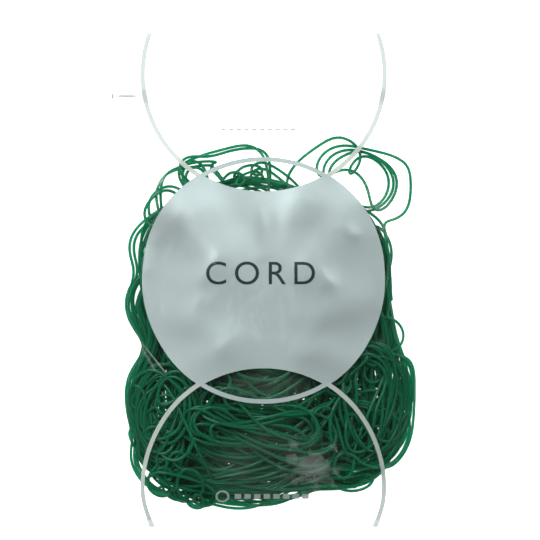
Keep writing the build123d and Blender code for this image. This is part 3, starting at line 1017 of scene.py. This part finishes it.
def painted_glint_box(tree, place, centre, half_size, turn, strength):
    """A painted glint: a box-shaped patch with crisp edges, where a flat piece of film would mirror the
    light.
    """
    local = add_node(tree, "ShaderNodeMapping", {"Location": centre, "Rotation": (0, 0, turn)},
                     {"Vector": place}, vector_type="TEXTURE")
    size = add_node(tree, "ShaderNodeVectorMath", {1: half_size}, {0: local.outputs[0]}, operation="DIVIDE")
    flat = add_node(tree, "ShaderNodeVectorMath", {}, {0: size.outputs[0]}, operation="ABSOLUTE")
    parts = add_node(tree, "ShaderNodeSeparateXYZ", {}, {0: flat.outputs[0]})
    lean = add_node(tree, "ShaderNodeMath", {1: 0.25}, {0: parts.outputs[1], 2: parts.outputs[0]},
                    operation="MULTIPLY_ADD")
    far = add_node(tree, "ShaderNodeMath", {}, {0: lean.outputs[0], 1: parts.outputs[1]},
                   operation="MAXIMUM")
    box = add_node(tree, "ShaderNodeMapRange", {1: 1.0, 2: 0.9, 3: 0.0, 4: strength}, {0: far.outputs[0]})
    return box.outputs[0]


# Painted sheen and painted glints on the front film: soft milky patches where the film would catch a glare
# over the heap. Each entry: centre, reach, strength, and for the two small glints also core and raggedness.
PAINTED_SHEEN = [
    ((29 * MM, -119 * MM, 0), (21 * MM, 14 * MM, 40 * MM), 0.09, 0.8, 3.0),
    ((53 * MM, -141 * MM, 8 * MM), (9 * MM, 5 * MM, 40 * MM), 0.12, 0.8, 2.0),
    ((4 * MM, -118 * MM, 12 * MM), (56 * MM, 34 * MM, 60 * MM), 0.025),
    ((0, -68 * MM, 20 * MM), (36 * MM, 13 * MM, 60 * MM), 0.03),
]
# Painted glints: crisp box-shaped patches (centre, half size, turn, strength) for the glare on a flat piece
# of film over the heap and the highlights along a crease on the left.
PAINTED_GLINTS = [
    ((31 * MM, -120 * MM, 0), (10 * MM, 8 * MM, 40 * MM), 0.6, 0.04),
    ((-72 * MM, -50 * MM, 0), (0.6 * MM, 13 * MM, 40 * MM), 0.69, 0.2),
    ((-76 * MM, -50 * MM, 0), (1.0 * MM, 10 * MM, 40 * MM), 0.55, 0.12),
]
film_clear = clear_plastic("oriented polyolefin film", 0.002, 0.15, 0.009, PAINTED_SHEEN, PAINTED_GLINTS)
for piece in (front, back):
    piece.data.materials.append(film_clear if piece is front else clear_plastic(
        "oriented polyolefin back film", 0.002, 0.15, 0.006))
ZIP_END = [((-99.3 * MM, 119 * MM, 0.7 * MM), (1.1 * MM, 2.8 * MM, 9 * MM), 1.3)]
seal_clear = clear_plastic("heat sealed film", 0.003, 0.2, 0.004)
seal_crushed = clear_plastic(
    "heat sealed film with crushed zip", 0.003, 0.2, 0.004, ZIP_END, haze_sheen_crush_colour="4E5B54")
for node in ("side_seal_right", "bottom_seal"):
    bpy.data.objects[node].material_slots[0].material = seal_clear
bpy.data.objects["side_seal_left"].material_slots[0].material = seal_crushed
zip_clear, tree, output = new_material("extruded polyethylene zip")
place = add_node(tree, "ShaderNodeTexCoord").outputs["Object"]
# A painted shadow: a thin grey line along the zip near its left end, for the shade of the zip's own profile.
zip_painted_shadow = soft_spot(tree, place, (-90 * MM, 119 * MM, 0.7 * MM), (9 * MM, 0.6 * MM, 9 * MM), 0.55)
zip_colour_with_painted_shadow = add_node(tree, "ShaderNodeMix", {"A": srgb("FBFCFB"), "B": srgb("A6A8A2")},
                    {"Factor": zip_painted_shadow}, data_type="RGBA")
zip_body = add_node(tree, "ShaderNodeBsdfPrincipled", {
    "Roughness": 0.05, "IOR": 1.51, "Transmission Weight": 1.0}, {"Base Color": zip_colour_with_painted_shadow.outputs["Result"]})
tree.links.new(zip_body.outputs[0], output.inputs["Surface"])
for node in ("zip_rib_strip", "zip_groove_strip"):
    bpy.data.objects[node].material_slots[0].material = zip_clear
# The patches and boxes counted here are painted sheen and painted glints.
print(len(PAINTED_SHEEN), "painted_glare patches and", len(PAINTED_GLINTS), "sharp_painted_glints in", film_clear.name)


# %% [markdown]
# The print is gravure ink, a layer a few thousandths of a millimetre thick. The disc's ink holds
# fine metal flakes, which give it a dull silver sheen. Its broad darker and paler clouds are painted
# highlights and painted shade in the ink's colour, for the room seen in the wavy film and for the
# brighter light from behind near the top of the disc. Thin ink lets a share of what is behind it
# show through.

# %% Inks
def ink(name, colour, clear, through, roughness, metal=0.0, painted_light_spots=()):
    """Printed ink: it covers, lets some light through and, where thin, shows what is behind."""
    material, tree, output = new_material(name)
    place = add_node(tree, "ShaderNodeTexCoord").outputs["Object"]
    cloud = add_node(tree, "ShaderNodeTexNoise", {"Scale": 1 / (30 * MM), "Detail": 1}, {"Vector": place})
    drift = add_node(tree, "ShaderNodeVectorMath", {1: (14 * MM,) * 3}, {0: cloud.outputs["Color"]},
                     operation="MULTIPLY")
    drifted = add_node(tree, "ShaderNodeVectorMath", {}, {0: place, 1: drift.outputs[0]}, operation="ADD")
    painted_light_level = add_node(tree, "ShaderNodeValue")
    painted_light_level.outputs[0].default_value = 0.5
    # Painted highlights and painted shade: each spot lightens or darkens the ink's colour, between two
    # thirds and four thirds of it.
    for centre, reach, strength in painted_light_spots:
        spot = soft_spot(tree, drifted.outputs[0], centre, reach, strength, core=0.0)
        painted_light_level = add_node(tree, "ShaderNodeMath", {}, {0: painted_light_level.outputs[0], 1: spot}, operation="ADD")
    pale, deep = srgb(colour), [c * 0.66 for c in srgb(colour)[:3]] + [1]
    shade = add_node(tree, "ShaderNodeMix", {"A": deep, "B": [c * 1.34 for c in pale[:3]] + [1]},
                     {"Factor": painted_light_level.outputs[0]}, data_type="RGBA")
    top = add_node(tree, "ShaderNodeBsdfPrincipled", {"Roughness": roughness, "Metallic": metal},
                   {"Base Color": shade.outputs["Result"]})
    glow = add_node(tree, "ShaderNodeBsdfTranslucent", {"Color": srgb(colour)})
    layer = add_node(tree, "ShaderNodeMixShader", {"Fac": through},
                     {1: top.outputs[0], 2: glow.outputs[0]})
    thin = add_node(tree, "ShaderNodeBsdfTransparent", {"Color": srgb("FFFFFF")})
    print_layer = add_node(tree, "ShaderNodeMixShader", {"Fac": clear},
                           {1: layer.outputs[0], 2: thin.outputs[0]})
    tree.links.new(print_layer.outputs[0], output.inputs["Surface"])
    return material


# Painted highlights and painted shade on the disc: centre, reach and how much lighter (positive) or darker
# (negative) the ink is painted there.
DISC_PAINTED_LIGHT = [
    ((-36 * MM, 60 * MM, 20 * MM), (34 * MM, 26 * MM, 90 * MM), 0.45),
    ((-12 * MM, 34 * MM, 20 * MM), (26 * MM, 22 * MM, 90 * MM), 0.3),
    ((16 * MM, 64 * MM, 20 * MM), (40 * MM, 26 * MM, 90 * MM), 0.35),
    ((54 * MM, 58 * MM, 20 * MM), (22 * MM, 24 * MM, 90 * MM), 0.3),
    ((-52 * MM, 38 * MM, 20 * MM), (26 * MM, 32 * MM, 90 * MM), -0.38),
    ((44 * MM, 46 * MM, 20 * MM), (36 * MM, 18 * MM, 90 * MM), -0.25),
    ((6 * MM, 44 * MM, 20 * MM), (8 * MM, 24 * MM, 90 * MM), -0.2),
    ((-44 * MM, -6 * MM, 20 * MM), (26 * MM, 14 * MM, 90 * MM), -0.2),
    ((-20 * MM, -24 * MM, 20 * MM), (26 * MM, 10 * MM, 90 * MM), 0.15),
    ((34 * MM, -20 * MM, 20 * MM), (40 * MM, 12 * MM, 90 * MM), -0.15),
]
disc_ink = ink("silver grey gravure ink", "D4E0E3", 0.15, 0.15, 0.42, 0.12, DISC_PAINTED_LIGHT)
line_ink = ink("thin silver grey gravure ink", "E8EDEB", 0.22, 0.3, 0.6)
INKS = {"dark_ink": ink("dark grey gravure ink", "2C3A3E", 0.02, 0.05, 0.4),
        "white_ink": ink("white gravure ink", "D2DFDB", 0.2, 0.2, 0.5)}
for piece in prints:
    line_or_disc = disc_ink if piece.name == "silver_disc" else line_ink
    piece.data.materials.append(INKS.get(piece["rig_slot"], line_or_disc))
print("inks on", [piece.name for piece in prints])
